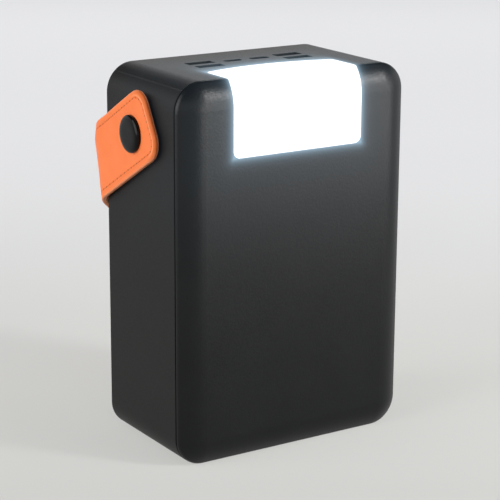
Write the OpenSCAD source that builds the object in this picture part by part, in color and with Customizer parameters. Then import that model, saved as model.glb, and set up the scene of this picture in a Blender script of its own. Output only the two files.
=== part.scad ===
// Portable power pack with a wrap-round lamp and a swinging carry strap.
// The origin is the middle of the base. The lamp faces -Y, +Z is up.

/* [Housing] */
// Width of the housing, left to right
body_w = 110; // [108:1:130]
// Height of the housing
body_h = 160; // [159:1:190]
// Depth of the rear shell, from the seam to the back
shell_d = 56; // [55:1:70]
// How far the front cover stands in front of the seam
cover_t = 5.3; // [4.6:0.1:7]
// Radius of the four long corners
corner_r = 12; // [11.6:0.2:16]
// Width of the soft edge that runs round the front cover
cover_edge = 11.3; // [9:0.1:11.5]
// Small radius where the cover meets the seam
cover_lip_r = 1.95; // [1:0.05:2.4]
// Wall of the rear shell
wall = 2.4; // [2:0.1:2.6]
// Wall of the front cover
cover_wall = 2.9; // [2.4:0.1:3]
// Width of the shadow groove behind the cover
groove_w = 0.6; // [0.3:0.1:1]
// Depth of the shadow groove
groove_d = 0.5; // [0.2:0.1:0.8]
// Bevel round the back edge
back_bevel = 0.5; // [0.3:0.1:1]

/* [Lamp] */
// Width of the lamp diffuser
lamp_w = 62; // [50:1:66]
// How far the lamp reaches down the front
lamp_drop = 31.7; // [28:0.1:34]
// Where the lamp ends on the top, measured back from the seam
lamp_reach = 21; // [18:0.5:22]
// How much the back edge of the lamp bows
lamp_bow = 5; // [2:0.5:6]
// Corner radius of the lamp
lamp_r = 3; // [2:0.5:4]
// Gap round the diffuser
lamp_gap = 0.1; // [0.05:0.05:0.2]
// Depth of the light box behind the front cover
box_depth = 8.4; // [7.4:0.1:8.6]
// Wall of the light box
box_wall = 1.2; // [1:0.1:1.4]
// LEDs across the lamp
led_columns = 6; // [4:1:7]

/* [Ports] */
// Length of the upright USB-A sockets
usb_a_len = 14.2; // [13.8:0.1:14.6]
// Sideways place of the USB-A pairs
usb_a_x = 21.6; // [21:0.1:23]
// Distance between the front and rear USB-A rows
usb_a_pitch = 8.2; // [8:0.1:9]
// Place of the sockets behind the middle of the housing
port_y = 6.9; // [6.5:0.1:8]
// Width and depth of the windows over the USB-A sockets
usb_a_window = [12.6, 5.0];
// Sideways place of the two small sockets
small_port_x = 6.5; // [6.3:0.1:7]

/* [Strap] */
// Width of the strap
strap_w = 30; // [24:1:32]
// Thickness of the strap
strap_t = 2.4; // [2:0.1:3]
// Corner radius of the strap ends
strap_end_r = 8.4; // [5:0.1:11]
// Distance from a press stud to the end of the strap
strap_tab = 17; // [15:0.5:18]
// Slope of the strap on the sides of the housing
strap_slope = 30; // [26:1:34]
// Slope of the strap as it starts across the back
strap_back_slope = 40; // [34:1:46]
// Length of the bend round each back corner
strap_bend = 22; // [20:0.5:26]
// Lean of the strap across the back, top edge outwards
strap_lean = 22; // [18:1:26]
// Height of the press studs below the top
stud_drop = 24.7; // [24:0.1:26]
// Place of the press studs behind the middle
stud_y = 4.2; // [3:0.1:5]
// Diameter of the press-stud caps
cap_d = 15.6; // [12:0.2:18]
// Diameter of the stud that the strap turns on
stud_d = 5; // [4:0.1:6]

/* [Battery] */
// Diameter of a cell with its sleeve
cell_d = 18.3; // [18:0.1:18.5]
// Length of a cell
cell_len = 65.2; // [64:0.1:65.4]
// Distance between cells
cell_pitch = 19.6; // [19.4:0.1:20]
// Cells across each row
cell_columns = 5; // [4:1:5]

/* [Power button] */
// Diameter of the button
button_d = 10.8; // [8:0.2:12]
// How far the button can be pressed
button_travel = 0.6; // [0.4:0.05:0.6]
// Height of the button and the charge window above the base
control_z = 92; // [92:1:94]

/* [Hidden] */
$fn = 64;

// Small overlap for cuts that run out into the open
over = 1;
// Clearance between pieces that are pushed or glued together
fit = 0.15;
// Running clearance on the radius of a turning fit
run_fit = 0.05;

// Planes of the front, the seam and the back
y_front = -(shell_d + cover_t) / 2;
y_seam = y_front + cover_t;
y_back = y_seam + shell_d;
y_cover_in = y_front + cover_wall;
y_back_in = y_back - wall;
x_side = body_w / 2;
x_side_in = x_side - wall;
z_top_in = body_h - wall;

// ---- outlines shared by the pieces -------------------------------------------------

// Rounded rectangle of true arcs, centred
module round_rect(w, h, r) {
    square([w - 2 * r, h], center = true);
    square([w, h - 2 * r], center = true);
    for (x = [-1, 1], y = [-1, 1])
        translate([x * (w / 2 - r), y * (h / 2 - r)])
            circle(r);
}

// The housing's outline, drawn in by an inset, as a slab between two depths
module housing_slab(inset, y0, y1) {
    translate([0, y1, body_h / 2])
        rotate([90, 0, 0])
            linear_extrude(y1 - y0)
                round_rect(body_w - 2 * inset, body_h - 2 * inset, corner_r - inset);
}

// A slab with the housing's outline and a shaped rim: the child is the rim's section,
// measured outwards from the corner's axis and forwards from the slab's flat side
module rimmed_slab(thick) {
    cx = x_side - corner_r;
    cz = body_h / 2 - corner_r;
    translate([-cx, -cz, 0])
        cube([2 * cx, 2 * cz, thick]);
    for (turn = [0:3]) {
        out = turn % 2 == 0 ? cx : cz;
        run = turn % 2 == 0 ? cz : cx;
        rotate([0, 0, 90 * turn])
            translate([out, run, 0]) {
                rotate([90, 0, 0])
                    linear_extrude(2 * run)
                        children();
                rotate_extrude(angle = 90)
                    children();
            }
    }
}

// Radius of the broad arc on the cover's edge, tangent to the flat face and the small lip arc
edge_big_r = (pow(cover_edge - cover_lip_r, 2) + pow(cover_t, 2) - pow(cover_lip_r, 2))
    / (2 * (cover_t - cover_lip_r));

// Section of the cover's rim: flat, then a broad arc, then a small arc into the side
module cover_rim() {
    u_big = corner_r - cover_edge;
    v_big = cover_t - edge_big_r;
    u_lip = corner_r - cover_lip_r;
    share = cover_lip_r / (edge_big_r - cover_lip_r);
    u_meet = u_lip + share * (u_lip - u_big);
    v_meet = -share * v_big;
    square([u_big, cover_t]);
    intersection() {
        translate([u_big, v_big])
            circle(edge_big_r, $fn = 128);
        square([u_meet, cover_t]);
    }
    intersection() {
        translate([u_lip, 0])
            circle(cover_lip_r);
        translate([u_meet, 0])
            square([corner_r - u_meet, v_meet]);
    }
}

// Section of the rear shell's rim: the shadow groove in front, a bevel at the back
module shell_rim() {
    polygon([[0, 0], [corner_r - groove_d, 0], [corner_r - groove_d, groove_w],
        [corner_r, groove_w], [corner_r, shell_d - back_bevel],
        [corner_r - back_bevel, shell_d], [0, shell_d]]);
}

// A flat plate in the side walls' plane: the child is drawn in Y and Z, from x0 to x1
module side_plate(x0, x1) {
    translate([x0, 0, 0])
        rotate([90, 0, 90])
            linear_extrude(x1 - x0)
                children();
}

// A drilling or a pin across the housing, from x0 to x1
module side_pin(x0, x1, y, z, d) {
    translate([x0, y, z])
        rotate([0, 90, 0])
            cylinder(h = x1 - x0, d = d);
}

// ---- lamp ---------------------------------------------------------------------------

lamp_z = body_h - lamp_drop;
lamp_back = y_seam + lamp_reach;

// The lamp seen from the front: open at the top, round corners below
module lamp_front_outline(grow) {
    w = lamp_w + 2 * grow;
    r = lamp_r + grow;
    translate([-w / 2, lamp_z - grow + r])
        square([w, lamp_drop]);
    translate([-w / 2 + r, lamp_z - grow])
        square([w - 2 * r, lamp_drop]);
    for (x = [-1, 1])
        translate([x * (w / 2 - r), lamp_z - grow + r])
            circle(r);
}

// The lamp seen from above: its back edge is an arc with rounded corners
module lamp_top_outline(grow) {
    half = lamp_w / 2 + grow;
    r = lamp_r + grow;
    bow_r = (pow(half, 2) + pow(lamp_bow, 2)) / (2 * lamp_bow);
    bow_y = lamp_back + grow - bow_r;
    corner_x = half - r;
    corner_y = bow_y + sqrt(pow(bow_r - r, 2) - pow(corner_x, 2));
    meet_x = corner_x * bow_r / (bow_r - r);
    intersection() {
        translate([0, bow_y])
            circle(bow_r, $fn = 256);
        translate([-meet_x, y_front - over])
            square([2 * meet_x, body_w]);
    }
    translate([-half, y_front - over])
        square([2 * half, corner_y - y_front + over]);
    for (x = [-1, 1])
        translate([x * corner_x, corner_y])
            circle(r);
}

// The space that the diffuser fills in the cover and the shell
module lamp_window(grow) {
    intersection() {
        translate([0, y_back, 0])
            rotate([90, 0, 0])
                linear_extrude(y_back - y_front + over)
                    lamp_front_outline(grow);
        translate([0, 0, lamp_z - over])
            linear_extrude(lamp_drop + 2 * over)
                lamp_top_outline(grow);
    }
}

// The housing cut down its middle, in Y and Z, as far as the lamp needs it
module housing_section() {
    translate([y_seam, lamp_z - 10])
        square([lamp_reach + 10, lamp_drop + 10]);
    translate([y_front, lamp_z - 10])
        square([cover_t, lamp_drop + 10 - corner_r]);
    translate([y_seam, body_h - corner_r])
        rotate(90)
            cover_rim();
}

// A piece with one section right across the lamp: the child is that section in Y and Z
module across(w) {
    side_plate(-w / 2, w / 2)
        children();
}

module lamp_diffuser() {
    color("white")
    intersection() {
        across(lamp_w + 4)
            difference() {
                housing_section();
                translate([cover_wall, -cover_wall])
                    housing_section();
            }
        lamp_window(0);
    }
}

box_y = y_cover_in + box_depth;
box_floor_z = body_h - cover_wall - 6.5;
box_back = lamp_back + fit + box_wall;
box_bottom = lamp_z - box_wall;
box_w = lamp_w + 0.8;

// Section of the light box: an L that opens forwards and upwards
module box_section() {
    polygon([[y_cover_in, box_bottom], [box_y, box_bottom], [box_y, box_floor_z],
        [box_back, box_floor_z], [box_back, body_h - cover_wall], [y_cover_in, body_h - cover_wall]]);
}

module box_hollow_section() {
    polygon([[y_front, lamp_z], [box_y - box_wall, lamp_z],
        [box_y - box_wall, box_floor_z + box_wall], [box_back - box_wall, box_floor_z + box_wall],
        [box_back - box_wall, body_h], [y_front, body_h]]);
}

module lamp_box() {
    color("whitesmoke")
    difference() {
        across(box_w)
            intersection() {
                box_section();
                translate([cover_wall, -cover_wall])
                    housing_section();
            }
        across(box_w - 2 * box_wall)
            box_hollow_section();
    }
}

lamp_board_t = 1.2;
lamp_board_w = lamp_w - 6;
front_board_y = box_y - box_wall - lamp_board_t;
top_board_z = box_floor_z + box_wall;

module lamp_boards() {
    color("lightgray") {
        translate([-lamp_board_w / 2, front_board_y, lamp_z + 1.5])
            cube([lamp_board_w, lamp_board_t, box_floor_z - lamp_z - 3]);
        translate([-lamp_board_w / 2, front_board_y + lamp_board_t, top_board_z])
            cube([lamp_board_w, box_back - box_wall - 1 - front_board_y - lamp_board_t, lamp_board_t]);
    }
}

led_size = [3.5, 2.8, 0.8];
led_pitch = lamp_board_w / led_columns;

module lamp_leds() {
    color("lightyellow")
    for (i = [0:led_columns - 1]) {
        x = (i - (led_columns - 1) / 2) * led_pitch - led_size[0] / 2;
        for (z = [6, 12, 18])
            translate([x, front_board_y - led_size[2], lamp_z + z - led_size[1] / 2])
                cube([led_size[0], led_size[2], led_size[1]]);
        for (y = [4.5, 10.5])
            translate([x, box_back - box_wall - y, top_board_z + lamp_board_t])
                cube(led_size);
    }
}

// ---- housing -------------------------------------------------------------------------

stud_z = body_h - stud_drop;
stud_hole_d = 4.1;
stud_shank_d = 4;

usb_c_size = [8.94, 3.26];
micro_size = [7.8, 2.9];
small_port_y = port_y + 2.3;
small_window_fit = 0.3;

// A slot with round ends, centred, lying along X
module stadium(w, h) {
    square([w - h, h], center = true);
    for (x = [-1, 1])
        translate([x * (w - h) / 2, 0])
            circle(h / 2);
}

// The micro socket's outline: two lower corners cut away
module micro_outline(grow) {
    w = micro_size[0] / 2 + grow;
    h = micro_size[1] / 2 + grow;
    polygon([[-w, -h * 0.2], [-w + 1.1, -h], [w - 1.1, -h], [w, -h * 0.2], [w, h], [-w, h]]);
}

// Windows in the top over the sockets
module port_windows() {
    translate([0, 0, z_top_in - over])
        linear_extrude(wall + 2 * over) {
            for (x = [-1, 1], row = [-0.5, 0.5])
                translate([x * usb_a_x, port_y + row * usb_a_pitch])
                    round_rect(usb_a_window[0], usb_a_window[1], 0.5);
            translate([small_port_x, small_port_y])
                stadium(usb_c_size[0] + 2 * small_window_fit, usb_c_size[1] + 2 * small_window_fit);
            translate([-small_port_x, small_port_y])
                micro_outline(small_window_fit);
        }
}

// The button and the charge window stand behind the seam
button_y = y_seam + 15.35;
button_flange_d = button_d + 1.8;
button_flange_t = 0.8;
button_flange_gap = 0.1;
button_pocket = 1.05;
window_y = y_seam + 33.35;
window_size = [18.6, 9.6];
window_t = 1;
window_rim = 1.1;

module controls_cutout() {
    side_pin(x_side_in - over, x_side + over, button_y, control_z, button_d + 0.6);
    side_pin(x_side_in - over, x_side_in + button_pocket, button_y, control_z, button_flange_d + 0.6);
    side_plate(x_side_in - over, x_side + over)
        translate([window_y, control_z])
            round_rect(window_size[0] - 2 * window_rim, window_size[1] - 2 * window_rim, 1);
    side_plate(x_side - window_t, x_side + over)
        translate([window_y, control_z])
            round_rect(window_size[0] + 2 * fit, window_size[1] + 2 * fit, 2);
}

// Pins that carry the button board, staked through it
stake_y = (button_y + window_y) / 2 - 0.6;
stake_spots = [[stake_y, control_z - 5.5], [stake_y, control_z + 5.5]];
stake_d = 1.6;
button_board_t = 1;
button_board_x = x_side_in - 2.6;

module stakes() {
    for (spot = stake_spots) {
        side_pin(button_board_x, x_side_in + over / 2, spot[0], spot[1], 3.4);
        side_pin(button_board_x - button_board_t - 0.2, button_board_x, spot[0], spot[1], stake_d);
    }
}

// Hooks of the cover's lip, as [side, place]: side walls by height, base by X
lip_gap = 0.15;
lip_t = 1.2;
lip_len = 4;
hook_y = y_seam + 2;
hook_w = 1.2;
hook_out = 0.6;
hook_len = 10;
hook_heights = [28, body_h - 82, body_h - 56];
hook_spots_x = [-28, 28];

// Every hook, or the slot that takes it, grown by a clearance
module hooks(grow) {
    y0 = hook_y - grow;
    w = hook_w + 2 * grow;
    out = hook_out + grow;
    x_lip = x_side_in - lip_gap;
    z_lip = wall + lip_gap;
    for (z = hook_heights, side = [-1, 1])
        translate([side > 0 ? x_lip - 0.3 : -x_lip - out, y0, z - hook_len / 2 - grow])
            cube([out + 0.3, w, hook_len + 2 * grow]);
    for (x = hook_spots_x)
        translate([x - hook_len / 2 - grow, y0, z_lip - out])
            cube([hook_len + 2 * grow, w, out + 0.3]);
}

module rear_shell() {
    color([0.1, 0.1, 0.105])
    difference() {
        union() {
            difference() {
                translate([0, y_seam, body_h / 2])
                    rotate([-90, 0, 0])
                        rimmed_slab(shell_d)
                            shell_rim();
                housing_slab(wall, y_seam - over, y_back_in);
            }
            stakes();
        }
        lamp_window(lamp_gap);
        port_windows();
        controls_cutout();
        hooks(0.2);
        for (side = [-1, 1])
            side_pin(side > 0 ? x_side_in - over : -x_side - over,
                side > 0 ? x_side + over : -x_side_in + over, stud_y, stud_z, stud_hole_d);
    }
}

cover_pocket_inset = 5;
rib_t = 1.2;
rib_depth = 4;
rib_pitch = 24;
pad_t = 2;
pad_w = 32;
pad_h = 10;
pad_x = 28;

module cover_ribs() {
    span_x = body_w - 2 * cover_pocket_inset;
    for (i = [-1.5:1.5])
        translate([i * rib_pitch - rib_t / 2, y_cover_in, cover_pocket_inset])
            cube([rib_t, rib_depth, box_bottom - 2 - cover_pocket_inset]);
    for (z = [cover_pocket_inset + 14 : rib_pitch : box_bottom - 3])
        translate([-span_x / 2, y_cover_in, z])
            cube([span_x, rib_depth, rib_t]);
    // two deep ribs press the foam pads against the cells' middle holder
    for (side = [-1, 1])
        translate([side * pad_x - pad_w / 2, y_cover_in, holder_mid_z - rib_t / 2])
            cube([pad_w, holder_y0 - pad_t - y_cover_in, rib_t]);
}

module front_cover() {
    color([0.13, 0.13, 0.14])
    difference() {
        union() {
            difference() {
                translate([0, y_seam, body_h / 2])
                    rotate([90, 0, 0])
                        rimmed_slab(cover_t)
                            cover_rim();
                housing_slab(cover_pocket_inset, y_cover_in, y_seam + over);
            }
            difference() {
                housing_slab(wall + lip_gap, y_seam - 0.5, y_seam + lip_len);
                housing_slab(wall + lip_gap + lip_t, y_seam - over, y_seam + lip_len + over);
            }
            cover_ribs();
            hooks(0);
        }
        lamp_window(lamp_gap);
        // room for the light box behind the cover's top edge
        translate([-box_w / 2 - fit, y_cover_in, lamp_z])
            cube([box_w + 2 * fit, shell_d, lamp_drop - cover_wall + fit]);
    }
}

// ---- battery -------------------------------------------------------------------------

pack_foam = 3.6;
strip_t = 0.3;
strip_w = 7;
bore_d = cell_d + 0.4;
holder_wall = 1.4;
holder_w = 2 * (x_side_in - 0.3);
holder_dep = cell_pitch + bore_d + 2 * holder_wall;
holder_y1 = y_back_in - pack_foam - 0.1;
holder_y0 = holder_y1 - holder_dep;
cell_y = (holder_y0 + holder_y1) / 2;
z_cell_1 = wall + 2.6;
layer_gap = 1.6;
z_cell_2 = z_cell_1 + cell_len + layer_gap;
z_cells_end = z_cell_2 + cell_len;
holder_mid_z = z_cell_1 + cell_len + layer_gap / 2;
holder_grip = 8;

// The child once at every cell of a layer
module at_cells() {
    for (i = [0:cell_columns - 1], row = [-0.5, 0.5])
        translate([(i - (cell_columns - 1) / 2) * cell_pitch, cell_y + row * cell_pitch, 0])
            children();
}

module holder_block(z0, z1) {
    intersection() {
        translate([-holder_w / 2, holder_y0, z0])
            cube([holder_w, holder_dep, z1 - z0]);
        housing_slab(wall + fit, holder_y0 - over, holder_y1 + over);
    }
}

module bores(z0, z1) {
    at_cells()
        translate([0, 0, z0])
            cylinder(h = z1 - z0, d = bore_d);
}

// One level of nickel: a strip along each row and a bridge, with a tab to the front
module strip_level(z, tab_x, grow) {
    span = (cell_columns - 1) * cell_pitch + strip_w + 2 * grow;
    translate([0, 0, z - grow]) {
        for (row = [-0.5, 0.5])
            translate([-span / 2, cell_y + row * cell_pitch - strip_w / 2 - grow, 0])
                cube([span, strip_w + 2 * grow, strip_t + 2 * grow]);
        translate([tab_x - 3 - grow, holder_y0 - 0.3 - grow, 0])
            cube([6 + 2 * grow, cell_pitch * 0.5 + cell_y - holder_y0 + 0.3 + grow, strip_t + 2 * grow]);
    }
}

lead_r = 1;
lead_x = 4;
lead_y = holder_y0 - 0.3 - lead_r;

module nickel_strips() {
    color("silver") {
        strip_level(z_cell_1 - strip_t, lead_x, 0);
        strip_level(z_cell_1 + cell_len, -lead_x, 0);
        strip_level(z_cell_2 - strip_t, -lead_x, 0);
        strip_level(z_cells_end, lead_x, 0);
    }
}

module holder_lower() {
    color("dimgray")
    difference() {
        holder_block(wall + 0.3, z_cell_1 + holder_grip);
        bores(z_cell_1, z_cell_1 + holder_grip + over);
        strip_level(z_cell_1 - strip_t, lead_x, 0.05);
    }
}

module holder_middle() {
    color("dimgray")
    difference() {
        holder_block(holder_mid_z - holder_grip, holder_mid_z + holder_grip);
        bores(holder_mid_z - holder_grip - over, z_cell_1 + cell_len);
        bores(z_cell_2, holder_mid_z + holder_grip + over);
        strip_level(z_cell_1 + cell_len, -lead_x, 0.05);
        strip_level(z_cell_2 - strip_t, -lead_x, 0.05);
    }
}

board_t = 1.6;
board_z = z_top_in - 0.2 - usb_a_len - board_t;
post_d = 5.2;
screw_d = 2.4;
post_in = 3.7;
post_spots = [for (x = [-1, 1], y = [holder_y0 + post_in, holder_y1 - post_in]) [x * (holder_w / 2 - 4.1), y]];
// The ribbon passes behind the front posts
ribbon_y = holder_y0 + post_in + post_d / 2 + 4.25;
ribbon_w = 5;
ribbon_t = 0.6;
ribbon_x = button_board_x - button_board_t + 0.3;

module holder_upper() {
    color("dimgray")
    difference() {
        union() {
            holder_block(z_cells_end - holder_grip + 1, z_cells_end);
            for (spot = post_spots)
                translate([spot[0], spot[1], z_cells_end - 1])
                    cylinder(h = board_z - z_cells_end + 1, d = post_d);
        }
        bores(z_cells_end - holder_grip, z_cells_end + 0.5);
        for (spot = post_spots)
            translate([spot[0], spot[1], z_cells_end - 4])
                cylinder(h = board_z - z_cells_end + 4 + over, d = screw_d + 2 * run_fit);
        // room for the studs' washers and for the button's ribbon
        for (side = [-1, 1])
            translate([side > 0 ? washer_x0 - 0.3 : -x_side, stud_y - washer_d / 2 - 0.4, stud_z - washer_d / 2 - 0.4])
                cube([x_side - washer_x0 + 0.3, washer_d + 0.8, washer_d + 0.8 + over]);
        translate([ribbon_x - 0.3, ribbon_y - ribbon_w / 2 - 0.3, z_cells_end - holder_grip])
            cube([x_side, ribbon_w + 0.6, holder_grip + over]);
    }
}

button_cap_d = 6;
button_cap_h = 0.8;

module cells_lower() {
    color("steelblue")
    at_cells() {
        translate([0, 0, z_cell_1])
            cylinder(h = cell_len - button_cap_h, d = cell_d);
        translate([0, 0, z_cell_1 + cell_len - button_cap_h])
            cylinder(h = button_cap_h, d = button_cap_d);
    }
}

module cells_upper() {
    color("steelblue")
    at_cells() {
        translate([0, 0, z_cell_2 + button_cap_h])
            cylinder(h = cell_len - button_cap_h, d = cell_d);
        translate([0, 0, z_cell_2])
            cylinder(h = button_cap_h, d = button_cap_d);
    }
}

module foam_pads() {
    color("darkslategray") {
        // behind the three holders
        for (z = [z_cell_1, holder_mid_z - holder_grip, z_cells_end - holder_grip + 1])
            translate([-holder_w / 2 + 6, holder_y1 + 0.05, z])
                cube([holder_w - 12, pack_foam, holder_grip]);
        // in front of the middle holder, under the cover's deep ribs
        for (side = [-1, 1])
            translate([side * pad_x - pad_w / 2, holder_y0 - pad_t, holder_mid_z - pad_h / 2])
                cube([pad_w, pad_t, pad_h]);
    }
}

// ---- leads ---------------------------------------------------------------------------

terminal_y = holder_y0 + 4.2;
lead_bend = 2.4;
lead_top = board_z + board_t + lead_r + 0.3 + lead_bend;

// A lead up the front of the cells that turns back over the main board
module riser(x, y, z0, z1, y_end, r, bend) {
    translate([x, y, z0])
        cylinder(h = z1 - bend - z0, r = r);
    translate([x, y + bend, z1 - bend])
        rotate([90, 0, -90])
            rotate_extrude(angle = 90)
                translate([bend, 0])
                    circle(r);
    translate([x, y + bend, z1])
        rotate([-90, 0, 0])
            cylinder(h = y_end - y - bend, r = r);
}

module battery_lead_red() {
    color("firebrick")
    riser(-lead_x, lead_y, z_cell_1 + cell_len - 1, lead_top, terminal_y, lead_r, lead_bend);
}

module battery_lead_black() {
    color("black")
    riser(lead_x, lead_y, z_cell_1, lead_top, terminal_y, lead_r, lead_bend);
}

wire_r = 0.65;
wire_x = 24;
wire_z = board_z - 2.4;
wire_y = box_y + 2;
wire_top = board_z + board_t + 2;

module lamp_lead() {
    color("ivory")
    for (side = [-1, 1]) {
        x = wire_x + side * 0.9;
        translate([x, box_y, wire_z])
            rotate([-90, 0, 0])
                cylinder(h = wire_y - wire_r - box_y + 0.05, r = wire_r);
        translate([x, wire_y, wire_z])
            sphere(wire_r);
        riser(x, wire_y, wire_z, wire_top, terminal_y, wire_r, 1.2);
    }
}

plug_size = [4.4, 4, lead_top - board_z - board_t + lead_r + 0.6];
lamp_plug_size = [6, 5, 3.4];

module board_connectors() {
    color("beige") {
        for (side = [-1, 1])
            translate([side * lead_x - plug_size[0] / 2, terminal_y, board_z + board_t])
                cube(plug_size);
        translate([wire_x - lamp_plug_size[0] / 2, terminal_y, board_z + board_t])
            cube(lamp_plug_size);
    }
}

// ---- main board ----------------------------------------------------------------------

board_half_x = holder_w / 2 - 1.8;
board_y0 = holder_y0 + 1.5;
board_y1 = y_back_in - 3.6;

module main_board() {
    color("darkgreen")
    difference() {
        translate([0, (board_y0 + board_y1) / 2, board_z])
            linear_extrude(board_t)
                round_rect(2 * board_half_x, board_y1 - board_y0, 2);
        for (spot = post_spots)
            translate([spot[0], spot[1], board_z - over])
                cylinder(h = board_t + 2 * over, d = screw_d + 0.3);
    }
}

module board_screws() {
    color("gainsboro")
    for (spot = post_spots)
        translate([spot[0], spot[1], board_z + board_t]) {
            difference() {
                cylinder(h = 1.5, d = 4.6);
                for (turn = [0, 90])
                    rotate([0, 0, turn])
                        translate([-1.4, -0.3, 0.8])
                            cube([2.8, 0.6, over]);
            }
            translate([0, 0, z_cells_end - 3.6 - board_z - board_t])
                cylinder(h = board_z + board_t - z_cells_end + 3.6, d = screw_d);
        }
}

usb_a_out = [13.1, 5.7];
usb_a_in = [12.5, 5.1];
tongue_t = 1.84;
socket_base = 3;
z_board = board_z + board_t;

// The child once at every USB-A socket, standing on the board
module at_usb_a() {
    for (x = [-1, 1], row = [-0.5, 0.5])
        translate([x * usb_a_x, port_y + row * usb_a_pitch, z_board])
            children();
}

module usb_a_shells() {
    color("silver")
    at_usb_a()
        difference() {
            linear_extrude(usb_a_len)
                round_rect(usb_a_out[0], usb_a_out[1], 0.6);
            translate([0, 0, socket_base])
                linear_extrude(usb_a_len)
                    round_rect(usb_a_in[0], usb_a_in[1], 0.3);
        }
}

module usb_a_tongues() {
    color("black")
    at_usb_a()
        translate([-5.55, 0.62 - tongue_t / 2, socket_base])
            cube([11.1, tongue_t, usb_a_len - socket_base - 1.2]);
}

module usb_c_shell() {
    color("silver")
    translate([small_port_x, small_port_y, z_board])
        difference() {
            linear_extrude(usb_a_len)
                stadium(usb_c_size[0], usb_c_size[1]);
            translate([0, 0, socket_base])
                linear_extrude(usb_a_len)
                    stadium(usb_c_size[0] - 0.6, usb_c_size[1] - 0.6);
        }
}

module usb_c_tongue() {
    color("black")
    translate([small_port_x - 3.35, small_port_y - 0.35, z_board + socket_base])
        cube([6.7, 0.7, usb_a_len - socket_base - 1]);
}

module micro_usb_shell() {
    color("silver")
    translate([-small_port_x, small_port_y, z_board])
        difference() {
            linear_extrude(usb_a_len)
                micro_outline(0);
            translate([0, 0, socket_base])
                linear_extrude(usb_a_len)
                    micro_outline(-0.3);
        }
}

module micro_usb_tongue() {
    color("black")
    translate([-small_port_x - 2.6, small_port_y - 0.1, z_board + socket_base])
        cube([5.2, 0.6, usb_a_len - socket_base - 1]);
}

// Places on the board near its sides, and the row in front of the sockets
coil_w = 10.4;
coil_h = 5.4;
coil_foot = [11.2, 3.2, 1];
can_d = 6.3;
can_h = 7.7;
can_base = [6.6, 6.6, 0.8];
can_pitch = 7.8;
chip_h = 0.9;
side_spot_x = board_half_x - 11;
front_coil_y = port_y - coil_w - 2.6;
front_spot_y = port_y - usb_a_pitch / 2 - usb_a_out[1] / 2 - 7;
chip_spots = [[-usb_a_x, front_spot_y, 5], [-lead_x - 8, front_spot_y + 2, 4],
    [lead_x + 9, front_spot_y, 5], [-side_spot_x, port_y + 10, 6], [0, small_port_y + 8, 5]];

module inductors() {
    color("slategray")
    for (spot = [[-side_spot_x, front_coil_y], [-side_spot_x, port_y], [side_spot_x, front_coil_y]])
        translate([spot[0], spot[1], z_board]) {
            linear_extrude(coil_h)
                round_rect(coil_w, coil_w, 1.6);
            translate([-coil_foot[0] / 2, -coil_foot[1] / 2, 0])
                cube(coil_foot);
        }
}

module capacitors() {
    color("darkblue")
    for (i = [-0.5, 0.5], j = [0, 1])
        translate([side_spot_x - 0.5 + i * can_pitch, port_y + 0.6 + j * can_pitch, z_board]) {
            translate([-can_base[0] / 2, -can_base[1] / 2, 0])
                cube(can_base);
            cylinder(h = can_h, d = can_d);
        }
}

module controller_chips() {
    color("black")
    for (chip = chip_spots)
        translate([chip[0] - chip[2] / 2, chip[1] - chip[2] / 2, z_board])
            cube([chip[2], chip[2], chip_h]);
}

// ---- button, charge window -----------------------------------------------------------

button_board_h = 16;
button_board_y0 = button_y - 7;
button_board_y1 = window_y + 11;

module button_board() {
    color("darkgreen")
    difference() {
        translate([button_board_x - button_board_t, button_board_y0, control_z - button_board_h / 2])
            cube([button_board_t, button_board_y1 - button_board_y0, button_board_h]);
        for (spot = stake_spots)
            side_pin(button_board_x - button_board_t - over, button_board_x + over, spot[0], spot[1], stake_d + 0.1);
    }
}

switch_size = [1.5, 6, 6];
switch_top = button_board_x + switch_size[0];

module tact_switch() {
    color("dimgray") {
        translate([button_board_x, button_y - switch_size[1] / 2, control_z - switch_size[2] / 2])
            cube(switch_size);
        side_pin(switch_top, switch_top + 0.1, button_y, control_z, 3);
    }
}

module power_button() {
    flange_out = x_side_in + button_pocket - button_flange_gap;
    color([0.16, 0.16, 0.17])
    difference() {
        union() {
            side_pin(flange_out - 0.1, x_side + 0.6, button_y, control_z, button_d);
            side_pin(flange_out - button_flange_t, flange_out, button_y, control_z, button_flange_d);
            side_pin(switch_top + 0.2 + button_travel, flange_out, button_y, control_z, 4);
        }
        // the thumb's dish
        translate([x_side + 0.6 + 19.5, button_y, control_z])
            sphere(r = 20, $fn = 128);
    }
}

module button_ribbon() {
    color("white")
    translate([ribbon_x, ribbon_y - ribbon_w / 2, control_z + button_board_h / 2])
        cube([ribbon_t, ribbon_w, board_z - control_z - button_board_h / 2]);
}

module display_module() {
    w = window_size[0] - 2 * window_rim - 1;
    h = window_size[1] - 2 * window_rim - 1;
    color("black")
    translate([button_board_x, window_y - w / 2, control_z - h / 2])
        cube([x_side - window_t - button_board_x - 0.1, w, h]);
}

module charge_window() {
    color([0.03, 0.03, 0.04])
    side_plate(x_side - window_t, x_side)
        translate([window_y, control_z])
            round_rect(window_size[0], window_size[1], 1.8);
}

// ---- press studs ---------------------------------------------------------------------

strap_gap = 0.6;
strap_in = x_side + strap_gap;
strap_mid = strap_in + strap_t / 2;
strap_out = strap_in + strap_t;
washer_d = 8;
washer_t = 1.2;
washer_x0 = x_side_in - washer_t;
socket_d = 11;
socket_t = 1.7;
cap_post_d = 4.6;
cap_h = 2.6;

// The child on the right side and again, mirrored, on the left
module both_sides() {
    children();
    mirror([1, 0, 0])
        children();
}

module press_studs() {
    color("gray")
    both_sides() {
        side_pin(washer_x0, x_side, stud_y, stud_z, stud_shank_d);
        side_pin(x_side, strap_in + socket_t - 0.3, stud_y, stud_z, stud_d);
    }
}

module stud_washers() {
    color("gray")
    both_sides()
        difference() {
            side_pin(washer_x0, x_side_in, stud_y, stud_z, washer_d);
            side_pin(washer_x0 - over, x_side_in + over, stud_y, stud_z, stud_shank_d + 2 * run_fit);
        }
}

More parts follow.
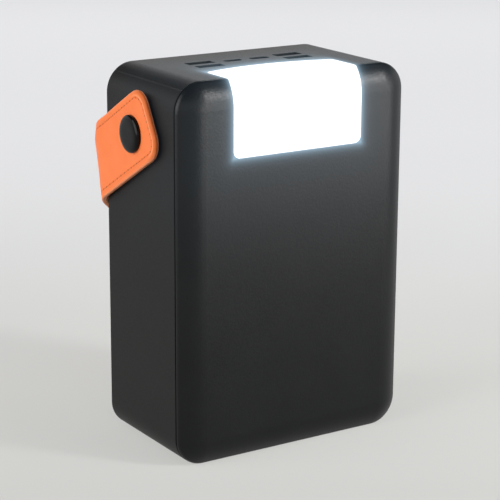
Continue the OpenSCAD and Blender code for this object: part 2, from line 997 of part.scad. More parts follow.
module stud_sockets() {
    color("gray")
    both_sides()
        difference() {
            side_pin(strap_in, strap_in + socket_t, stud_y, stud_z, socket_d);
            side_pin(strap_in - over, strap_in + socket_t + over, stud_y, stud_z, stud_d + 2 * run_fit);
        }
}

// Radius of the ball that the cap's dome is cut from
dome_r = (pow(cap_d / 2, 2) + pow(cap_h - 0.8, 2)) / (2 * (cap_h - 0.8));

module stud_caps() {
    color([0.06, 0.06, 0.065])
    both_sides() {
        side_pin(strap_in + socket_t, strap_out + 0.1, stud_y, stud_z, cap_post_d);
        translate([strap_out, stud_y, stud_z])
            rotate([0, 90, 0]) {
                cylinder(h = 0.8, d = cap_d);
                intersection() {
                    translate([0, 0, cap_h - dome_r])
                        sphere(dome_r, $fn = 128);
                    translate([0, 0, 0.8])
                        cylinder(h = cap_h, d = cap_d);
                }
            }
    }
}

// ---- carry strap ---------------------------------------------------------------------
// The strap's middle line is set by h, the distance travelled as seen from above, from
// the left stud. It runs back along the side, round the corner, and across the back,
// where its slope fades to level at the middle. The right half mirrors the left one.

bend_start = y_back - stud_y - 1;
bend_end = bend_start + strap_bend;
bend_r = 2 * strap_bend / PI;
back_run = strap_mid - bend_r;
h_tip = -strap_tab * cos(strap_slope);
h_mid = bend_end + back_run;

function clamp01(u) = min(max(u, 0), 1);
function smooth(u) = let (v = clamp01(u)) v * v * (3 - 2 * v);

// Heading seen from above: 0 runs straight back, 90 runs across
function heading(h) = 90 * clamp01((h - bend_start) / strap_bend);

// Slope of the middle line, and the height it has lost since the stud
slope_side = tan(strap_slope);
slope_back = tan(strap_back_slope);
function in_bend(h) = min(max(h - bend_start, 0), strap_bend);
function on_back(h) = max(h - bend_end, 0);
function slope(h) = slope_side + (slope_back - slope_side) * in_bend(h) / strap_bend
    - slope_back * on_back(h) / back_run;
function fall(h) = slope_side * min(h, bend_start) + slope_side * in_bend(h)
    + (slope_back - slope_side) * pow(in_bend(h), 2) / (2 * strap_bend)
    + slope_back * (on_back(h) - pow(on_back(h), 2) / (2 * back_run));

function mid_line(h) = [
    -strap_mid + bend_r * (1 - cos(heading(h))) + on_back(h),
    stud_y + min(h, bend_start) + bend_r * sin(heading(h)),
    stud_z - fall(h)];

// Lean of the strap, and how far its cross lines are raked where it bends
rake_most = -0.6;
function lean(h) = strap_lean * smooth((h - bend_start + 2) / (strap_bend + 4));
function rake(h) = rake_most * smooth((h - bend_start + 20) / 20) * (1 - smooth((h - bend_end) / 25));

function along(h) = let (a = heading(h), g = atan(slope(h)))
    [sin(a) * cos(g), cos(a) * cos(g), -sin(g)];
function upright(h) = let (a = heading(h), g = atan(slope(h)))
    [sin(a) * sin(g), cos(a) * sin(g), cos(g)];
function outward(h) = [-cos(heading(h)), sin(heading(h)), 0];
function across_dir(h) = cos(lean(h)) * upright(h) + sin(lean(h)) * outward(h);
function face_dir(h) = cos(lean(h)) * outward(h) - sin(lean(h)) * upright(h);

// Half the strap's width, drawn in round the end corners
function half_width(h) = let (d = (h - h_tip) / cos(strap_slope))
    strap_w / 2 - (d < strap_end_r ? strap_end_r - sqrt(pow(strap_end_r, 2) - pow(strap_end_r - d, 2)) : 0);

// Section of the strap at h: eight corners, its long edges softened
strap_soft = 0.5;
function section(h) = let (
        w = half_width(h),
        c = mid_line(h),
        v = across_dir(h) + rake(h) * along(h),
        n = face_dir(h),
        t = strap_t / 2)
    [for (p = [[-w, -t + strap_soft], [-w, t - strap_soft], [-w + strap_soft, t], [w - strap_soft, t],
               [w, t - strap_soft], [w, -t + strap_soft], [w - strap_soft, -t], [-w + strap_soft, -t]])
        c + p[0] * v + p[1] * n];

// Stations: close round the end and the bend, wider across the back
end_steps = 8;
bend_steps = 14;
side_steps = 4;
back_steps = 14;
h_square = h_tip + strap_end_r * cos(strap_slope);
stations = concat(
    [for (i = [0:end_steps]) h_tip + (h_square - h_tip) * (1 - cos(90 * i / end_steps))],
    [for (i = [1:side_steps]) h_square + (bend_start - h_square) * i / side_steps],
    [for (i = [1:bend_steps]) bend_start + strap_bend * i / bend_steps],
    [for (i = [1:back_steps]) bend_end + back_run * i / back_steps]);
left_rings = [for (h = stations) section(h)];
right_rings = [for (i = [len(left_rings) - 2:-1:0]) [for (p = left_rings[i]) [-p[0], p[1], p[2]]]];
rings = concat(left_rings, right_rings);
ring_n = 8;
last = len(rings) - 1;

module strap_ribbon() {
    polyhedron(
        points = [for (ring = rings) each ring],
        faces = concat(
            [[for (k = [0:ring_n - 1]) k]],
            [for (i = [0:last - 1], k = [0:ring_n - 1])
                let (m = (k + 1) % ring_n)
                [i * ring_n + k, (i + 1) * ring_n + k, (i + 1) * ring_n + m]],
            [for (i = [0:last - 1], k = [0:ring_n - 1])
                let (m = (k + 1) % ring_n)
                [i * ring_n + k, (i + 1) * ring_n + m, i * ring_n + m]],
            [[for (k = [ring_n - 1:-1:0]) last * ring_n + k]]),
        convexity = 6);
}

module carry_strap() {
    color([0.98, 0.5, 0.27])
    difference() {
        strap_ribbon();
        both_sides() {
            side_pin(strap_in - over, strap_in + socket_t, stud_y, stud_z, socket_d + 0.2);
            side_pin(strap_in, strap_out + over, stud_y, stud_z, cap_post_d + 0.2);
        }
    }
}

rear_shell();
front_cover();
lamp_diffuser();
lamp_box();
lamp_boards();
lamp_leds();
lamp_lead();
main_board();
board_screws();
usb_a_shells();
usb_a_tongues();
usb_c_shell();
usb_c_tongue();
micro_usb_shell();
micro_usb_tongue();
inductors();
capacitors();
controller_chips();
board_connectors();
holder_lower();
holder_middle();
holder_upper();
cells_lower();
cells_upper();
nickel_strips();
battery_lead_red();
battery_lead_black();
foam_pads();
button_board();
tact_switch();
button_ribbon();
display_module();
charge_window();
power_button();
press_studs();
stud_washers();
carry_strap();
stud_caps();
stud_sockets();
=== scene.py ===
import bpy
import math
import numpy as np
from mathutils import Matrix, Vector


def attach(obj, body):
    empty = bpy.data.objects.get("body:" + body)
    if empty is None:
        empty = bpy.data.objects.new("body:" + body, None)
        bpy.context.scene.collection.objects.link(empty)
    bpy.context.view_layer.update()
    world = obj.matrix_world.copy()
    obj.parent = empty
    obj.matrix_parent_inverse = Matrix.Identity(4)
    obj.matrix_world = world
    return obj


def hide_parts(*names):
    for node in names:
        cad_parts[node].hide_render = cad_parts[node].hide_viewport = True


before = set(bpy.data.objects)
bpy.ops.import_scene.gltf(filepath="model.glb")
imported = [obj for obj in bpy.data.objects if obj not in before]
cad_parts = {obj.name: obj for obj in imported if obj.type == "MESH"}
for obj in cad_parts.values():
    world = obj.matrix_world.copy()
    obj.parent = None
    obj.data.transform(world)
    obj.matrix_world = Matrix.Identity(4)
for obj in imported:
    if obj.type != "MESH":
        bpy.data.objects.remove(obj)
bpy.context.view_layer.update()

# ---- camera --------------------------------------------------------------------------------
# A long lens from the front left, a little above the top. The camera's place is given by its
# turn and height about the middle of the housing, then a small roll.
HOUSING_H = 0.160
TURN, LIFT, ROLL = math.radians(-32.6756), math.radians(15.4625), math.radians(0.292)
# how far back, to the left and down the lens stands, in heights of the housing
AWAY, TO_LEFT, DOWN = 4.8721, 0.0185, 0.0047
LENS, SENSOR = 131.647, 36
back = Vector((math.sin(TURN) * math.cos(LIFT), -math.cos(TURN) * math.cos(LIFT), math.sin(LIFT)))
right = (-back).cross(Vector((0, 0, 1))).normalized()
up = right.cross(-back)
right, up = (right * math.cos(ROLL) + up * math.sin(ROLL),
             up * math.cos(ROLL) - right * math.sin(ROLL))
eye = Vector((0, 0, HOUSING_H / 2)) + HOUSING_H * (back * AWAY - right * TO_LEFT - up * DOWN)
camera = bpy.data.objects.new("camera", bpy.data.cameras.new("camera"))
camera.matrix_world = Matrix.Translation(eye) @ Matrix((right, up, back)).transposed().to_4x4()
camera.data.sensor_width = SENSOR
camera.data.lens = LENS
bpy.context.scene.collection.objects.link(camera)
bpy.context.scene.camera = camera
bpy.context.scene.view_settings.view_transform = "Standard"


# ---- studio --------------------------------------------------------------------------------
# A pale paper floor without an edge in view, its colour lighter towards the back as painted
# light, a pale backdrop under a dark ceiling, and four soft boxes. Part of the floor's colour
# shows without any light to the camera and in gloss and glass, so its shadow stays faint; it
# adds no diffuse light.
def paint(code):
    """Turns an sRGB hex colour into the linear colour that a shader takes."""
    parts = [int(code[i:i + 2], 16) / 255 for i in (1, 3, 5)]
    return [c / 12.92 if c <= 0.04045 else ((c + 0.055) / 1.055) ** 2.4 for c in parts] + [1.0]


def node(tree, kind, inputs=(), stops=(), **settings):
    """Adds one node: inputs are values or other nodes' outputs, settings are its properties,
    and stops are a colour ramp's places from 0 to 1, each with its hex colour."""
    made = tree.nodes.new("ShaderNode" + kind)
    for name, value in settings.items():
        setattr(made, name, value)
    for name, value in dict(inputs).items():
        if isinstance(value, bpy.types.NodeSocket):
            tree.links.new(value, made.inputs[name])
        else:
            made.inputs[name].default_value = value
    for _ in stops[2:]:
        made.color_ramp.elements.new(0.5)
    for index, (place, code) in enumerate(stops):
        made.color_ramp.elements[index].position = place
        made.color_ramp.elements[index].color = paint(code)
    return made


def straight_rays(tree):
    """1 for what the camera sees directly, in a glossy surface or through glass, else 0."""
    kinds = node(tree, "LightPath").outputs
    seen = node(tree, "Math", {0: kinds["Is Camera Ray"], 1: kinds["Is Glossy Ray"]},
                operation="MAXIMUM")
    seen = node(tree, "Math", {0: seen.outputs[0], 1: kinds["Is Transmission Ray"]},
                operation="MAXIMUM")
    return seen.outputs[0]


def bare(name):
    """A new material with an output and object coordinates, and nothing between them."""
    material = bpy.data.materials.new(name)
    material.use_nodes = True
    tree = material.node_tree
    tree.nodes.clear()
    out = node(tree, "OutputMaterial")
    coords = node(tree, "TexCoord").outputs["Object"]
    return material, tree, out, coords


# the share of the floor's colour that shows without any light, and the grey air's strength
OWN_SHARE, AIR = 0.66, 0.48
# half the floor's side in metres, and its squares along a side
FLOOR_HALF, FLOOR_CELLS = 6.0, 24
paper, tree, out, coords = bare("studio_paper")
ahead = (-math.sin(TURN), math.cos(TURN), 0)
forward = node(tree, "VectorMath", {0: coords, 1: ahead}, operation="DOT_PRODUCT")
# from 0.1 m in front of the housing's middle to 1.3 m behind it
depth = node(tree, "MapRange", {"Value": forward.outputs["Value"], "From Min": -0.1,
                                "From Max": 1.3})
# painted light: the floor's colour is darker near the housing and lighter towards the back
floor_painted_light = node(tree, "ValToRGB", {"Fac": depth.outputs["Result"]}, stops=(
    (0.02, "#cfcfcc"), (0.07, "#d4d4d1"), (0.10, "#d6d6d3"), (0.19, "#d7d7d5"), (0.28, "#dcdcdc"),
    (0.38, "#e3e3e4"), (0.52, "#e8e8ea"), (0.71, "#ebebed"), (1.0, "#f0f0f2"))).outputs["Color"]
lit = node(tree, "BsdfDiffuse", {"Color": floor_painted_light, "Roughness": 1.0})
own = node(tree, "Emission", {"Color": floor_painted_light, "Strength": 1.0})
share = node(tree, "Math", {0: straight_rays(tree), 1: OWN_SHARE}, operation="MULTIPLY")
both = node(tree, "MixShader", {0: share.outputs[0], 1: lit.outputs[0], 2: own.outputs[0]})
tree.links.new(both.outputs[0], out.inputs["Surface"])

line = np.linspace(-FLOOR_HALF, FLOOR_HALF, FLOOR_CELLS + 1)
u, v = np.meshgrid(line, line, indexing="ij")
corners = np.stack([u, v, 0 * u], -1).reshape(-1, 3)
first = (np.arange(FLOOR_CELLS)[:, None] * len(line) + np.arange(FLOOR_CELLS)).ravel()
squares = np.stack([first, first + len(line), first + len(line) + 1, first + 1], -1)
floor_mesh = bpy.data.meshes.new("floor")
floor_mesh.from_pydata(corners.tolist(), [], squares.tolist())
floor = bpy.data.objects.new("floor", floor_mesh)
floor.data.materials.append(paper)
bpy.context.scene.collection.objects.link(floor)

world = bpy.data.worlds.new("studio_air")
world.use_nodes = True
bpy.context.scene.world = world
tree = world.node_tree
tree.nodes.clear()
air = node(tree, "Background", {"Color": paint("#f4f6f8"), "Strength": AIR})
height = node(tree, "SeparateXYZ", {0: node(tree, "TexCoord").outputs["Generated"]}).outputs["Z"]
walls = node(tree, "ValToRGB", {"Fac": height}, stops=(
    (0.0, "#e5e5e5"), (0.12, "#ffffff"), (0.30, "#ffffff"), (0.42, "#3a3a3a")))
backdrop = node(tree, "Background", {"Color": walls.outputs["Color"], "Strength": 1.0})
sky = node(tree, "MixShader", {0: straight_rays(tree), 1: air.outputs[0], 2: backdrop.outputs[0]})
tree.links.new(sky.outputs[0], node(tree, "OutputWorld").inputs["Surface"])


def soft_box(name, place, aim, size, power):
    """A rectangular soft light at a place, turned to face another place: its size is its width
    and height in metres, its power is in watts."""
    lamp = bpy.data.lights.new(name, "AREA")
    lamp.shape = "RECTANGLE"
    lamp.size, lamp.size_y = size
    lamp.energy = power
    stand = bpy.data.objects.new(name, lamp)
    stand.location = place
    stand.rotation_mode = "QUATERNION"
    stand.rotation_quaternion = (Vector(aim) - Vector(place)).to_track_quat("-Z", "Y")
    stand.visible_camera = False
    bpy.context.scene.collection.objects.link(stand)


# broad, for the left side and the strap
soft_box("soft_box_left", (-1.10, 0.10, 0.50), (0, 0, 0.1), (1.0, 1.0), 9.2)
# tall and narrow, for the highlight along the cover's top edge
soft_box("soft_box_high", (0.58, -0.812, 0.554), (0, 0, 0.13), (0.16, 0.34), 5.6)
# behind on the right, for the top and the back
soft_box("soft_box_rear", (0.65, 1.01, 0.50), (0, 0, 0.16), (0.9, 0.5), 1.2)
# low at the front right, for the long highlight on the front
soft_box("soft_box_front", (0.225, -0.355, 0.125), (0, 0, 0.125), (0.36, 0.18), 0.9)


# ---- rear shell ----------------------------------------------------------------------------
# A deep five-sided box moulded in one piece from black ABS, with a fine spark-eroded grain.
# The mould's parting shows as a hair line along the middle of each upper corner.
def shaded(name, colour, roughness, metallic=0.0, specular=0.5):
    """A material with one principled shader, whose constants are set on its own sockets."""
    material, tree, out, coords = bare(name)
    skin = node(tree, "BsdfPrincipled", {"Base Color": paint(colour), "Roughness": roughness,
                                         "Metallic": metallic, "Specular IOR Level": specular})
    tree.links.new(skin.outputs[0], out.inputs["Surface"])
    return material, tree, skin, coords


def grain(tree, skin, coords, size, depth, spread):
    """A pebbled surface of pits of one size, deep as given (both mm): it bumps the surface,
    and moves the roughness by spread about the value that the shader has."""
    pits = node(tree, "TexNoise", {"Vector": coords, "Scale": 1000 / size, "Detail": 3.0,
                                   "Roughness": 0.6})
    bump = node(tree, "Bump", {"Height": pits.outputs[0], "Distance": depth / 1000,
                               "Strength": 1.0})
    tree.links.new(bump.outputs[0], skin.inputs["Normal"])
    rough = skin.inputs["Roughness"].default_value
    level = node(tree, "MapRange", {"Value": pits.outputs[0], "From Min": 0.3, "From Max": 0.7,
                                    "To Min": rough - spread, "To Max": rough + spread})
    tree.links.new(level.outputs[0], skin.inputs["Roughness"])
    return bump


def mottle(tree, skin, coords, size, dark, light):
    """Colour that drifts between two tones in patches of one size (mm)."""
    patches = node(tree, "TexNoise", {"Vector": coords, "Scale": 1000 / size, "Detail": 4.0,
                                      "Roughness": 0.55})
    tone = node(tree, "ValToRGB", {"Fac": patches.outputs[0]}, stops=((0.35, dark), (0.65, light)))
    tree.links.new(tone.outputs["Color"], skin.inputs["Base Color"])


def dress(material, *names):
    """Gives CAD nodes a material."""
    for name in names:
        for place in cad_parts[name].material_slots:
            place.material = material


# the lamp's opening in metres: half its width, its lower edge, and its back edge, which bows
# towards the front by LAMP_BOW times x squared, 5 mm at the corners
LAMP_HALF, LAMP_LOW, LAMP_BACK, LAMP_BOW = 0.031, 0.1283, -0.00435, 5.2
# over the top a distance counts as this share, so that the painted glow reaches three times as far
OVER_TOP = 0.32
# the painted glow round the lamp: a bright fringe and a wide glow with GLOW_SHARE of its
# strength, the distances in metres over which they fall by a factor of e, and where along Y both
# fade out, because the lamp can't light the back
FRINGE, GLOW, GLOW_SHARE = 0.00133, 0.013, 0.085
GLOW_FADES, GLOW_ENDS = 0.010, 0.027


def painted_lamp_glow(tree, skin, coords):
    """A painted glow round the lamp: the plastic there emits light, standing in for the lamp's
    light around it. It dies away exponentially with the distance from the diffuser's outline, which
    is the length of the parts that a place lies beside, below and behind it."""
    place = node(tree, "SeparateXYZ", {0: coords})
    wide = node(tree, "Math", {0: place.outputs["X"]}, operation="ABSOLUTE")
    beside = node(tree, "Math", {0: wide.outputs[0], 1: LAMP_HALF}, operation="SUBTRACT")
    beside = node(tree, "Math", {0: beside.outputs[0], 1: 0.0}, operation="MAXIMUM")
    below = node(tree, "Math", {0: LAMP_LOW, 1: place.outputs["Z"]}, operation="SUBTRACT")
    below = node(tree, "Math", {0: below.outputs[0], 1: 0.0}, operation="MAXIMUM")
    bow = node(tree, "Math", {0: place.outputs["X"], 1: 2.0}, operation="POWER")
    behind = node(tree, "Math", {0: bow.outputs[0], 1: LAMP_BOW, 2: -LAMP_BACK},
                  operation="MULTIPLY_ADD")
    behind = node(tree, "Math", {0: place.outputs["Y"], 1: behind.outputs[0]}, operation="ADD")
    behind = node(tree, "Math", {0: behind.outputs[0], 1: 0.0}, operation="MAXIMUM")
    behind = node(tree, "Math", {0: behind.outputs[0], 1: OVER_TOP}, operation="MULTIPLY")
    away = node(tree, "CombineXYZ", {0: beside.outputs[0], 1: behind.outputs[0],
                                     2: below.outputs[0]})
    away = node(tree, "VectorMath", {0: away.outputs[0]}, operation="LENGTH")
    near = node(tree, "Math", {0: away.outputs["Value"], 1: -1 / FRINGE}, operation="MULTIPLY")
    near = node(tree, "Math", {0: near.outputs[0]}, operation="EXPONENT")
    far = node(tree, "Math", {0: away.outputs["Value"], 1: -1 / GLOW}, operation="MULTIPLY")
    far = node(tree, "Math", {0: far.outputs[0]}, operation="EXPONENT")
    both = node(tree, "Math", {0: far.outputs[0], 1: GLOW_SHARE, 2: near.outputs[0]},
                operation="MULTIPLY_ADD")
    kept = node(tree, "MapRange", {"Value": place.outputs["Y"], "From Min": GLOW_FADES,
                                   "From Max": GLOW_ENDS, "To Min": 1.0, "To Max": 0.0})
    both = node(tree, "Math", {0: both.outputs[0], 1: kept.outputs[0]}, operation="MULTIPLY")
    tree.links.new(both.outputs[0], skin.inputs["Emission Strength"])
    skin.inputs["Emission Color"].default_value = paint("#89a6ba")


# moulded ABS, spark-eroded: a dull black with a fine grain and soft, broad reflections
abs_shell, tree, skin, coords = shaded("black_abs_spark_eroded", "#0b0b0c", 0.5, specular=0.25)
bump = grain(tree, skin, coords, 0.6, 0.02, 0.05)
mottle(tree, skin, coords, 14, "#0a0a0b", "#0d0d0e")
# the parting line: a raised hair in each upper corner, 47.5 degrees round its curve. In metres:
# the curve's middle and radius, then the hair's half width and height
CORNER_X, CORNER_Z, CORNER_R = 0.043, 0.148, 0.012
PARTING, HAIR_HALF, HAIR_H = math.radians(47.5), 0.00035, 0.00012
place = node(tree, "SeparateXYZ", {0: coords})
wide = node(tree, "Math", {0: place.outputs["X"]}, operation="ABSOLUTE")
beyond = node(tree, "Math", {0: wide.outputs[0], 1: CORNER_X}, operation="SUBTRACT")
over = node(tree, "Math", {0: place.outputs["Z"], 1: CORNER_Z}, operation="SUBTRACT")
corner = node(tree, "CombineXYZ", {0: beyond.outputs[0], 2: over.outputs[0]}).outputs[0]
square_to_line = (math.sin(PARTING), 0, -math.cos(PARTING))
off_line = node(tree, "VectorMath", {0: corner, 1: square_to_line}, operation="DOT_PRODUCT")
off_line = node(tree, "Math", {0: off_line.outputs["Value"]}, operation="ABSOLUTE")
reach = node(tree, "VectorMath", {0: corner}, operation="LENGTH")
outer = node(tree, "Math", {0: reach.outputs["Value"], 1: CORNER_R - 0.001},
             operation="GREATER_THAN")
upper = node(tree, "Math", {0: over.outputs[0], 1: 0.0}, operation="GREATER_THAN")
hair = node(tree, "MapRange", {"Value": off_line.outputs[0], "From Max": HAIR_HALF, "To Min": 1.0,
                               "To Max": 0.0})
hair = node(tree, "Math", {0: hair.outputs[0], 1: outer.outputs[0]}, operation="MULTIPLY")
hair = node(tree, "Math", {0: hair.outputs[0], 1: upper.outputs[0]}, operation="MULTIPLY")
ridge = node(tree, "Bump", {"Height": hair.outputs[0], "Distance": HAIR_H,
                            "Normal": bump.outputs[0]})
tree.links.new(ridge.outputs[0], skin.inputs["Normal"])
# painted shade on the rim beside the shadow groove: its reflection is tinted darker. In metres
# from the seam, it is fully shaded up to the first distance and has gone at the second
SEAM_Y, LIP_SHADE, LIP_SHADE_GONE = -0.02535, 0.0009, 0.0015
lip_shade = node(tree, "MapRange", {"Value": place.outputs["Y"], "From Min": SEAM_Y + LIP_SHADE,
                              "From Max": SEAM_Y + LIP_SHADE_GONE})
lip_shade_tint = node(tree, "ValToRGB", {"Fac": lip_shade.outputs[0]}, stops=((0.0, "#6a6a6a"), (1.0, "#ffffff")))
tree.links.new(lip_shade_tint.outputs["Color"], skin.inputs["Specular Tint"])
# painted glow round the lamp's opening, emitted by the shell's own plastic
painted_lamp_glow(tree, skin, coords)
dress(abs_shell, "rear_shell")

# ---- front cover ---------------------------------------------------------------------------
# A shallow lid of the same ABS with a softer, satin grain and broad rounded edges. It clips
# into the shell behind a shadow groove, and the lamp's opening is cut through its top edge.

# satin ABS: a fine speckle in a soft sheen. Such a grain is a few tenths of a millimetre, too
# fine to show, so it is drawn at about a millimetre
abs_cover, tree, skin, coords = shaded("black_abs_satin", "#0b0c0e", 0.34, specular=0.28)
grain(tree, skin, coords, 0.95, 0.045, 0.05)
mottle(tree, skin, coords, 18, "#090a0c", "#0d0e10")
# painted glow round the lamp's opening, emitted by the cover's own plastic
painted_lamp_glow(tree, skin, coords)
dress(abs_cover, "front_cover", "power_button")

# ---- lamp ----------------------------------------------------------------------------------
# An opal polycarbonate diffuser glued over a white light box with two boards of LEDs. Lit,
# it is an almost even cool white, a little cloudy from the flow of the moulding.

# opal polycarbonate: smooth, and so milky that the LEDs behind it don't show one by one
opal, tree, skin, coords = shaded("opal_polycarbonate_lit", "#b9bdc2", 0.35)
cloud = node(tree, "TexNoise", {"Vector": coords, "Scale": 1000 / 9, "Detail": 2.0})
glow = node(tree, "MapRange", {"Value": cloud.outputs[0], "To Min": 0.74, "To Max": 0.82})
tree.links.new(glow.outputs[0], skin.inputs["Emission Strength"])
skin.inputs["Emission Color"].default_value = paint("#fbfdff")
dress(opal, "lamp_diffuser")

# white ABS: matte and bright, with a faint flow mottle
white_abs, tree, skin, coords = shaded("white_abs_moulded", "#e8e8e6", 0.55)
grain(tree, skin, coords, 0.7, 0.01, 0.05)
mottle(tree, skin, coords, 8, "#e2e2df", "#ecece9")
dress(white_abs, "lamp_box", "board_connectors")

# ceramic-loaded solder mask: white, smoother than the box and a little uneven where it pooled
white_mask, tree, skin, coords = shaded("white_solder_mask", "#e9e9e6", 0.3)
grain(tree, skin, coords, 0.4, 0.006, 0.06)
mottle(tree, skin, coords, 5, "#dcdcd8", "#efefec")
dress(white_mask, "lamp_boards")

# phosphor gel in a white frame: yellow, glossy and slightly cloudy
phosphor, tree, skin, coords = shaded("led_phosphor_gel", "#f1dc7a", 0.18)
grain(tree, skin, coords, 0.3, 0.004, 0.04)
mottle(tree, skin, coords, 0.8, "#e9cf5c", "#f6e79a")
dress(phosphor, "lamp_leds")

# silicone or PVC sleeve on stranded wire: satin, with faint drawing marks
lead_colours = (("white_pvc_lead", "#e2e1dc", "#ecebe6", ("lamp_lead", "button_ribbon")),
                ("red_silicone_lead", "#a3171a", "#b82124", ("battery_lead_red",)),
                ("black_silicone_lead", "#151515", "#1f1f1f", ("battery_lead_black",)))
for name, dark, light, nodes in lead_colours:
    lead, tree, skin, coords = shaded(name, dark, 0.42)
    grain(tree, skin, coords, 0.35, 0.008, 0.05)
    mottle(tree, skin, coords, 3, dark, light)
    dress(lead, *nodes)

# ---- sockets -------------------------------------------------------------------------------
# Four upright USB-A sockets, one USB-C and one micro-USB. Each is a tin-plated steel shell
# folded round a black nylon tongue, and opens through a window in the top.

# tin plating on drawn steel: bright, with fine upright draw lines
plated, tree, skin, coords = shaded("tin_plated_steel", "#b3b6ba", 0.3, metallic=1.0)
stretched = node(tree, "Mapping", {"Vector": coords, "Scale": (1.0, 1.0, 0.06)})
drawn = node(tree, "TexNoise", {"Vector": stretched.outputs[0], "Scale": 1000 / 0.25,
                                "Detail": 3.0})
bump = node(tree, "Bump", {"Height": drawn.outputs[0], "Distance": 0.000006, "Strength": 1.0})
level = node(tree, "MapRange", {"Value": drawn.outputs[0], "To Min": 0.2, "To Max": 0.42})
tree.links.new(bump.outputs[0], skin.inputs["Normal"])
tree.links.new(level.outputs[0], skin.inputs["Roughness"])
mottle(tree, skin, coords, 2.5, "#a4a8ad", "#bdc0c4")
dress(plated, "usb_a_shells", "usb_c_shell", "micro_usb_shell")

# glass-filled nylon, moulded: a dull near-black with a fine grain
nylon, tree, skin, coords = shaded("black_glass_filled_nylon", "#17181a", 0.5)
grain(tree, skin, coords, 0.3, 0.010, 0.08)
mottle(tree, skin, coords, 1.5, "#141517", "#1f2124")
dress(nylon, "usb_a_tongues", "usb_c_tongue", "micro_usb_tongue", "tact_switch", "display_module",
      "controller_chips")

# ---- main board ----------------------------------------------------------------------------
# A green fibreglass board screwed to posts on the upper cell holder. It carries the sockets,
# three inductors, four can capacitors, the controller chips and the lead connectors.

# solder mask over copper: glossy green, paler where tracks run under it
board_green, tree, skin, coords = shaded("green_solder_mask", "#0f5c2e", 0.28)
squares = node(tree, "TexVoronoi", {"Vector": coords, "Scale": 1000 / 2.4}, distance="MANHATTAN")
tracks = node(tree, "ValToRGB", {"Fac": squares.outputs["Distance"]}, stops=(
    (0.30, "#0c4f27"), (0.34, "#14703a"), (0.44, "#0d5529")))
tree.links.new(tracks.outputs["Color"], skin.inputs["Base Color"])
raised = node(tree, "Bump", {"Height": squares.outputs["Distance"], "Distance": 0.00003,
                             "Strength": 0.6})
tree.links.new(raised.outputs[0], skin.inputs["Normal"])
dress(board_green, "main_board", "button_board")

# zinc plating: a soft blue-grey metal with a fine, uneven bloom
zinc, tree, skin, coords = shaded("zinc_plated_steel", "#9da1a6", 0.34, metallic=1.0)
grain(tree, skin, coords, 0.25, 0.006, 0.08)
mottle(tree, skin, coords, 1.8, "#92969b", "#a9acb0")
dress(zinc, "board_screws", "nickel_strips", "press_studs", "stud_washers", "stud_sockets")

# ferrite powder, pressed and fired: dull dark grey and grainy
ferrite, tree, skin, coords = shaded("pressed_ferrite", "#4a4c50", 0.62)
grain(tree, skin, coords, 0.35, 0.03, 0.08)
mottle(tree, skin, coords, 1.0, "#424448", "#55575b")
dress(ferrite, "inductors")

# drawn aluminium: pale and bright, with a faint satin
can, tree, skin, coords = shaded("drawn_aluminium_can", "#c7c9cc", 0.3, metallic=1.0)
grain(tree, skin, coords, 0.2, 0.004, 0.06)
mottle(tree, skin, coords, 2.0, "#bcbec2", "#d2d3d6")
dress(can, "capacitors")

# ---- battery -------------------------------------------------------------------------------
# Twenty cells in shrink sleeves stand in two layers between three moulded holders, joined by
# nickel strips. Foam pads hold the pack against the back and the front cover.

# shrunk PVC film: glossy blue, a little wavy over the cell
sleeve, tree, skin, coords = shaded("pvc_shrink_sleeve", "#1f5c99", 0.24)
grain(tree, skin, coords, 1.4, 0.02, 0.05)
mottle(tree, skin, coords, 9, "#1b5590", "#2566a6")
dress(sleeve, "cells_lower", "cells_upper")

# moulded ABS from a plain tool: a matte dark grey
holder, tree, skin, coords = shaded("black_abs_holder", "#232325", 0.6)
grain(tree, skin, coords, 0.5, 0.015, 0.06)
mottle(tree, skin, coords, 6, "#202022", "#29292b")
dress(holder, "holder_lower", "holder_middle", "holder_upper")

# open-cell foam: matte dark grey, pitted with cells, each pit painted darker as painted shade
foam, tree, skin, coords = shaded("open_cell_foam", "#303134", 0.9, specular=0.2)
cells = node(tree, "TexVoronoi", {"Vector": coords, "Scale": 1000 / 0.8})
open_cells = node(tree, "Bump", {"Height": cells.outputs["Distance"], "Distance": 0.0004,
                                 "Strength": 1.0})
tree.links.new(open_cells.outputs[0], skin.inputs["Normal"])
walls = node(tree, "ValToRGB", {"Fac": cells.outputs["Distance"]},
             stops=((0.1, "#232427"), (0.6, "#3b3c40")))
tree.links.new(walls.outputs["Color"], skin.inputs["Base Color"])
dress(foam, "foam_pads")

# ---- charge window -------------------------------------------------------------------------
# A smoked acrylic pane set flush in the right side, over the display. Polished, with the
# faint hairlines that wiping leaves.

# cast acrylic with a smoke tint: glossy and nearly black
smoked, tree, skin, coords = shaded("smoked_acrylic", "#08080a", 0.08)
hairs = node(tree, "Mapping", {"Vector": coords, "Rotation": (0.5, 0.0, 0.0),
                               "Scale": (1.0, 0.05, 1.0)})
wiped = node(tree, "TexNoise", {"Vector": hairs.outputs[0], "Scale": 1000 / 0.4, "Detail": 4.0})
level = node(tree, "MapRange", {"Value": wiped.outputs[0], "From Min": 0.45, "To Min": 0.06,
                                "To Max": 0.2})
tree.links.new(level.outputs[0], skin.inputs["Roughness"])
mottle(tree, skin, coords, 6, "#070709", "#0d0d10")
dress(smoked, "charge_window")

# ---- carry strap ---------------------------------------------------------------------------
# Two layers of smooth dyed leather, sewn 3 mm inside the edge, with the rim rolled over and
# burnished darker. Each end turns on a press stud, and the strap sags behind the housing.

MM = 0.001
# all in mm: half the width, thickness, radius of the end's corners, the seam's distance from
# the edge, the stitches' pitch, and from the tip to the stud
STRAP_HALF, STRAP_T, END_R, SEAM_IN, PITCH, TIP = 15.0, 2.4, 8.4, 3.0, 2.6, 17.0
# the seam's straight length from the middle of the end, and the radius of its corner
FLAT, INNER = STRAP_HALF - END_R, END_R - SEAM_IN
# the stud, the middle surface beside the housing, and the housing's back
STUD_Y, STUD_Z, MID_X, Y_BACK = 4.2, 135.3, 56.8, 30.65
